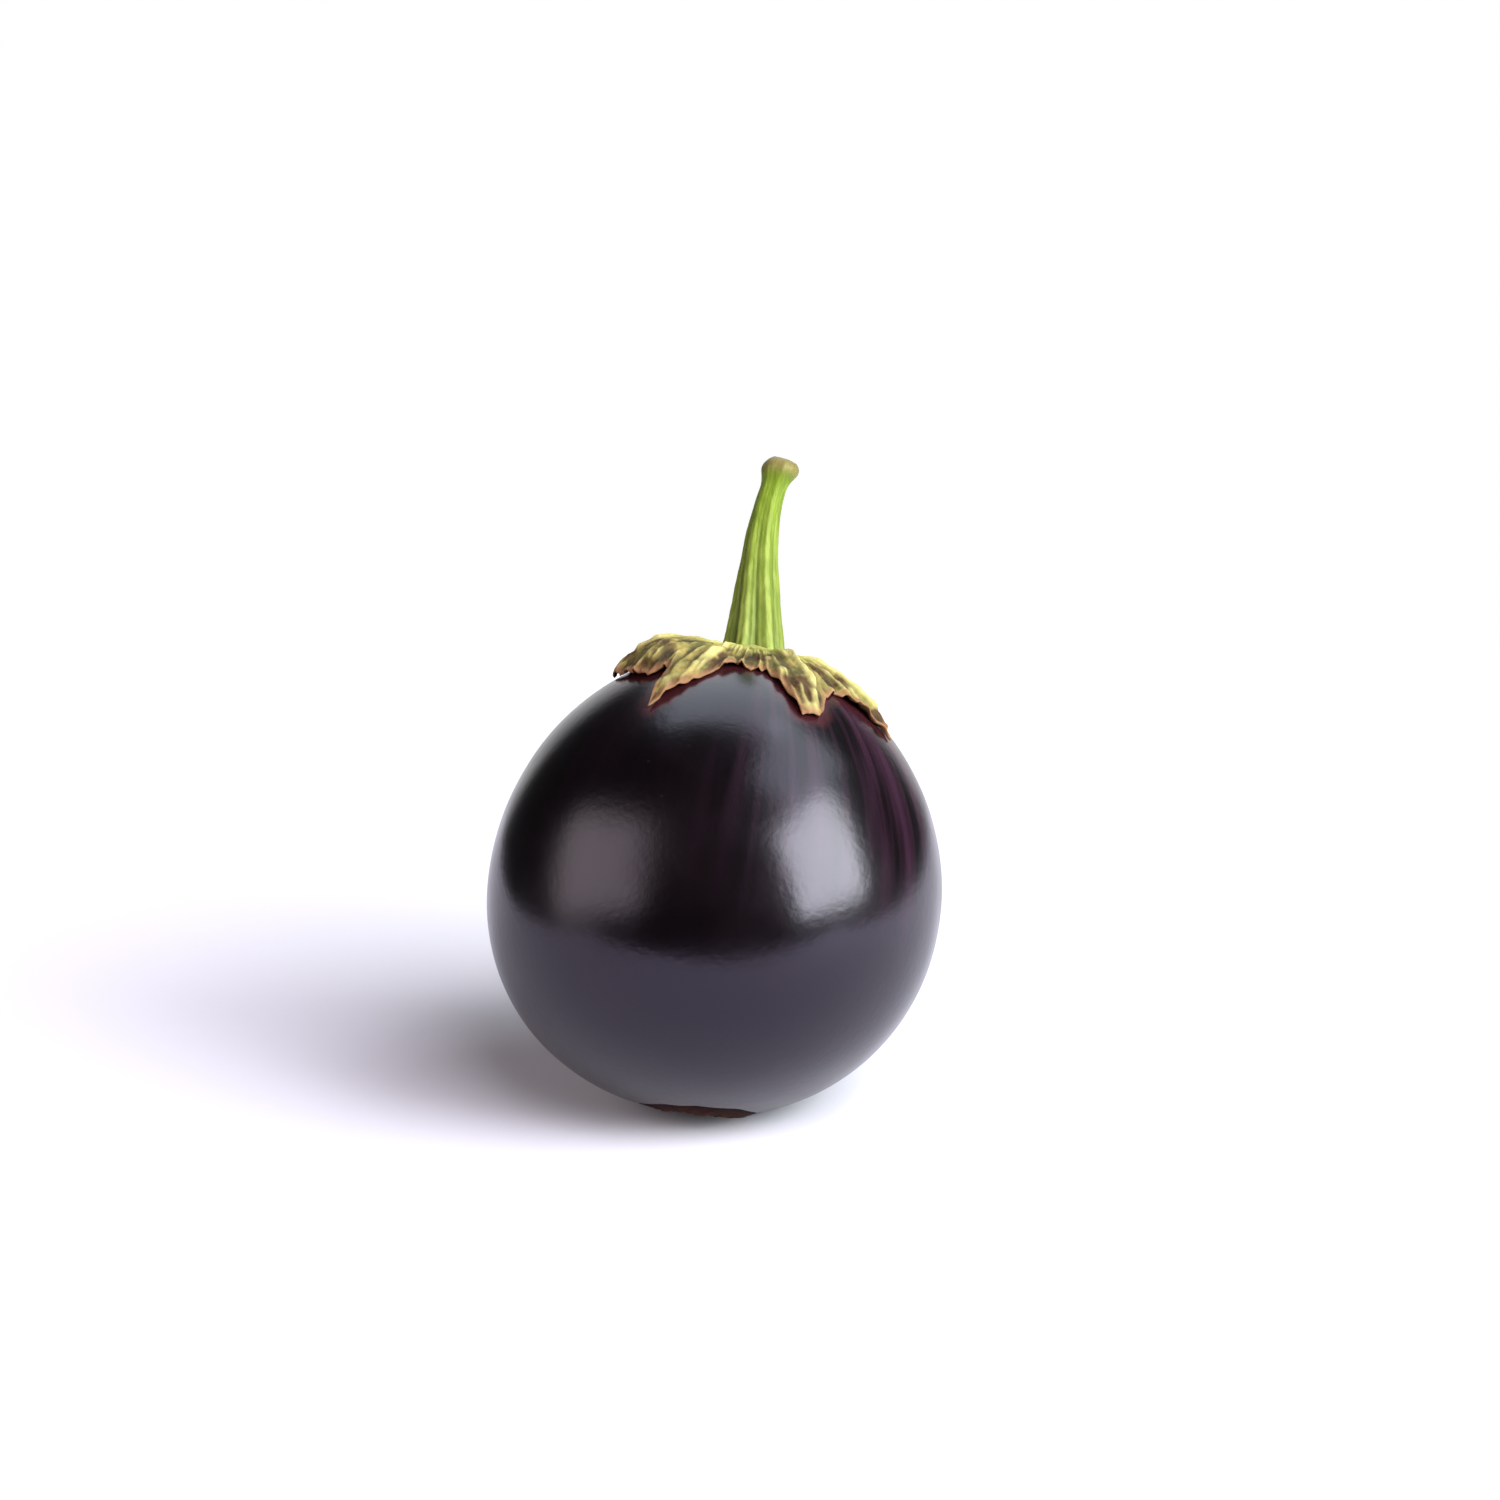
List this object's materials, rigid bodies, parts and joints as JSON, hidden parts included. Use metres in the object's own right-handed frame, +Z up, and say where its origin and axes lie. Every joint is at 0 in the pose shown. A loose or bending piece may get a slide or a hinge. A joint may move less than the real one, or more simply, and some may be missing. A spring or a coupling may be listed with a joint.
{
  "type": "round eggplant",
  "caption": "Small round eggplant, as picked: glossy dark fruit with a dried lobed calyx and a cut green stem, resting on a small flat spot.",
  "frame": {"origin": "centre of the flat spot that the fruit rests on", "axes": "+Z up; -Y towards the viewer; the axis from blossom scar to stem leans 19 degrees towards +Y and 9.5 degrees towards +X"},
  "size_m": [0.0604, 0.0601, 0.0852],
  "materials": {
    "skin": "waxy gloss, near-black purple",
    "calyx": "dry and papery, olive to tan",
    "stem": "satin, ribbed, lime green"
  },
  "bodies": {
    "root": {"fruit": "skin", "calyx": "calyx", "stem": "stem"}
  },
  "joints": []
}
